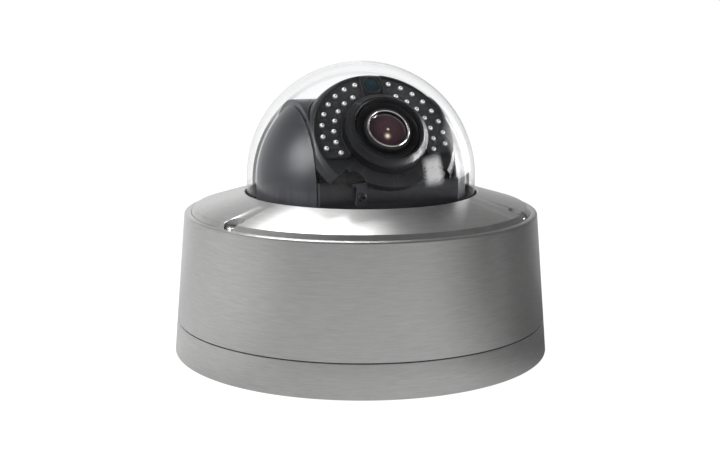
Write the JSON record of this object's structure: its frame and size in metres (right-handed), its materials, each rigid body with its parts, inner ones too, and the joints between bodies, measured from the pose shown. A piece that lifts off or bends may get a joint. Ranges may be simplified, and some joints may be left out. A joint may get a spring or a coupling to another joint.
{
  "type": "dome security camera",
  "caption": "Surface-mounted dome camera: tapered stainless steel housing, clear dome and a pan, tilt and roll camera module with infrared lamps.",
  "frame": {"origin": "centre of the base's mounting face", "axes": "+Z out of the mounting face through the dome; -Y is the front, the face seen with the lens looking 19.7 degrees to its right (+X)"},
  "size_m": [0.1798, 0.1798, 0.1376],
  "materials": {
    "housing_steel": "satin",
    "screw_steel": "satin",
    "plated_steel": "satin",
    "clear_dome": "polished",
    "black_seal": "matte",
    "black_cover": "satin",
    "mask_plastic": "satin",
    "panel_plastic": "textured",
    "hood_plastic": "satin",
    "lamp_epoxy": "polished",
    "lens_glass": "coated",
    "window_glass": "polished",
    "ring_chrome": "polished",
    "lens_black": "satin",
    "gear_polymer": "satin",
    "motor_steel": "satin",
    "circuit_green": "solder mask",
    "black_polymer": "moulded",
    "cooler_aluminium": "anodised",
    "standoff_brass": "turned"
  },
  "bodies": {
    "housing": {"base_plate": "housing_steel", "base_gasket": "black_seal", "body_housing": "housing_steel", "body_screws": "screw_steel", "cover_gasket": "black_seal", "cable_gland_body": "black_polymer", "cable_gland_nut": "black_polymer", "cable_gland_seal": "black_seal", "chassis_plate": "plated_steel", "chassis_screws": "screw_steel", "upper_standoffs": "standoff_brass", "lower_standoffs": "standoff_brass", "pan_bearing_ring": "gear_polymer", "main_board": "circuit_green", "processor_cooler": "cooler_aluminium", "cable_headers": "black_polymer", "card_socket": "motor_steel", "reset_switch": "motor_steel"},
    "cover": {"dome_cover": "housing_steel", "cover_screws": "screw_steel", "cover_screw_washers": "screw_steel", "dome": "clear_dome", "dome_seal": "black_seal", "dome_retainer": "plated_steel", "retainer_screws": "screw_steel"},
    "card": {"memory_card": "black_polymer"},
    "button": {"reset_button": "black_polymer"},
    "turret": {"turntable": "black_cover", "pan_washer": "gear_polymer", "pan_clip": "screw_steel", "yoke_arm_left": "plated_steel", "yoke_arm_right": "plated_steel", "yoke_screws": "screw_steel", "side_cover_left": "black_cover", "side_cover_right": "black_cover", "tilt_pivots": "screw_steel", "tilt_washers": "gear_polymer"},
    "camera": {"face_mask": "mask_plastic", "module_shell": "black_cover", "lens_hood": "hood_plastic", "lamp_panels": "panel_plastic", "lamp_boards": "circuit_green", "infrared_lamps": "lamp_epoxy", "light_sensor_window": "window_glass", "lens_bracket": "plated_steel", "bracket_screws": "lens_black", "tilt_lock_screw": "screw_steel"},
    "lens": {"lens_barrel": "lens_black", "lens_motors": "motor_steel", "filter_changer": "black_polymer", "image_sensor": "lens_glass", "sensor_board": "circuit_green"},
    "zoom": {"zoom_ring": "gear_polymer"},
    "zoom_drive": {"zoom_pinion": "gear_polymer"},
    "focus": {"focus_ring": "gear_polymer"},
    "focus_drive": {"focus_pinion": "gear_polymer"},
    "front_group": {"front_cell": "lens_black", "front_ring": "ring_chrome", "front_lens": "lens_glass"},
    "filter": {"filter_slider": "lens_glass"}
  },
  "joints": [
    {"name": "cover_lift", "type": "slide", "parent": "housing", "child": "cover", "axis": [0, 0, 1], "range_m": [0, 0.085]},
    {"name": "card_pull", "type": "slide", "parent": "housing", "child": "card", "axis": [1, 0, 0], "range_m": [0, 0.012]},
    {"name": "reset_press", "type": "slide", "parent": "housing", "child": "button", "axis": [0, 0, -1], "range_m": [0, 0.0004], "stiffness_N_per_m": 600},
    {"name": "pan", "type": "hinge", "parent": "housing", "child": "turret", "pos_m": [0, 0, 0.04], "axis": [0, 0, 1], "range_deg": [-177.5, 177.5]},
    {"name": "tilt", "type": "hinge", "parent": "turret", "child": "camera", "pos_m": [0, 0, 0.0807], "axis": [-0.9415, -0.3371, 0], "range_deg": [-23, 52]},
    {"name": "roll", "type": "hinge", "parent": "camera", "child": "lens", "pos_m": [0, 0, 0.0807], "axis": [0.2656, -0.7419, 0.6157], "range_deg": [-177.5, 177.5]},
    {"name": "zoom", "type": "hinge", "parent": "lens", "child": "zoom", "pos_m": [0.00478, -0.01335, 0.09178], "axis": [0.2656, -0.7419, 0.6157], "range_deg": [-45, 45]},
    {"name": "zoom_motor", "type": "hinge", "parent": "lens", "child": "zoom_drive", "pos_m": [-0.01706, -0.02117, 0.09178], "axis": [0.2656, -0.7419, 0.6157], "range_deg": [-145, 145]},
    {"name": "focus", "type": "hinge", "parent": "lens", "child": "focus", "pos_m": [0.00292, -0.00816, 0.08747], "axis": [0.2656, -0.7419, 0.6157], "range_deg": [-45, 45]},
    {"name": "focus_motor", "type": "hinge", "parent": "lens", "child": "focus_drive", "pos_m": [-0.00189, 0.00529, 0.10575], "axis": [0.2656, -0.7419, 0.6157], "range_deg": [-145, 145]},
    {"name": "front_travel", "type": "slide", "parent": "lens", "child": "front_group", "axis": [0.2656, -0.7419, 0.6157], "range_m": [-0.0012, 0.0012]},
    {"name": "filter_shift", "type": "slide", "parent": "lens", "child": "filter", "axis": [0.9415, 0.3371, 0], "range_m": [0, 0.0085]}
  ],
  "couplings": [
    {"joint": "zoom_motor", "follows": "zoom", "ratio": -3.1429},
    {"joint": "focus_motor", "follows": "focus", "ratio": -3.1429},
    {"joint": "front_travel", "follows": "zoom", "m_per_rad": 0.0015279}
  ]
}
